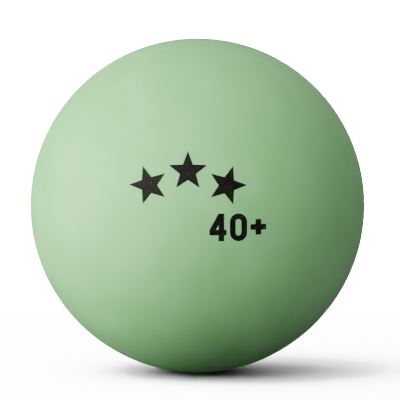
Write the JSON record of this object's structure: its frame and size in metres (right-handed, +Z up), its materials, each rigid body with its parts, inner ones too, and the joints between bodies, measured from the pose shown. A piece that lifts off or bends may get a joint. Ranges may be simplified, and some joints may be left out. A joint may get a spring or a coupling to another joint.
{
  "type": "table tennis ball",
  "caption": "Hollow plastic table tennis ball, moulded as half shells joined in a cemented step, with printed stars and a size mark.",
  "frame": {"origin": "the ball's centre", "axes": "+Z up as the ball lies with its print facing forward, -Y towards the print, +Y along the joint's axis from the printed shell to the plain shell, +X to the right as the print is read"},
  "size_m": [0.0402, 0.0402, 0.0402],
  "materials": {
    "ball_plastic": "matte",
    "cement": "satin",
    "print_ink": "matte"
  },
  "bodies": {
    "root": {"front_half_shell": "ball_plastic", "rear_half_shell": "ball_plastic", "seam_cement": "cement", "star_print": "print_ink", "size_print": "print_ink"}
  },
  "joints": []
}
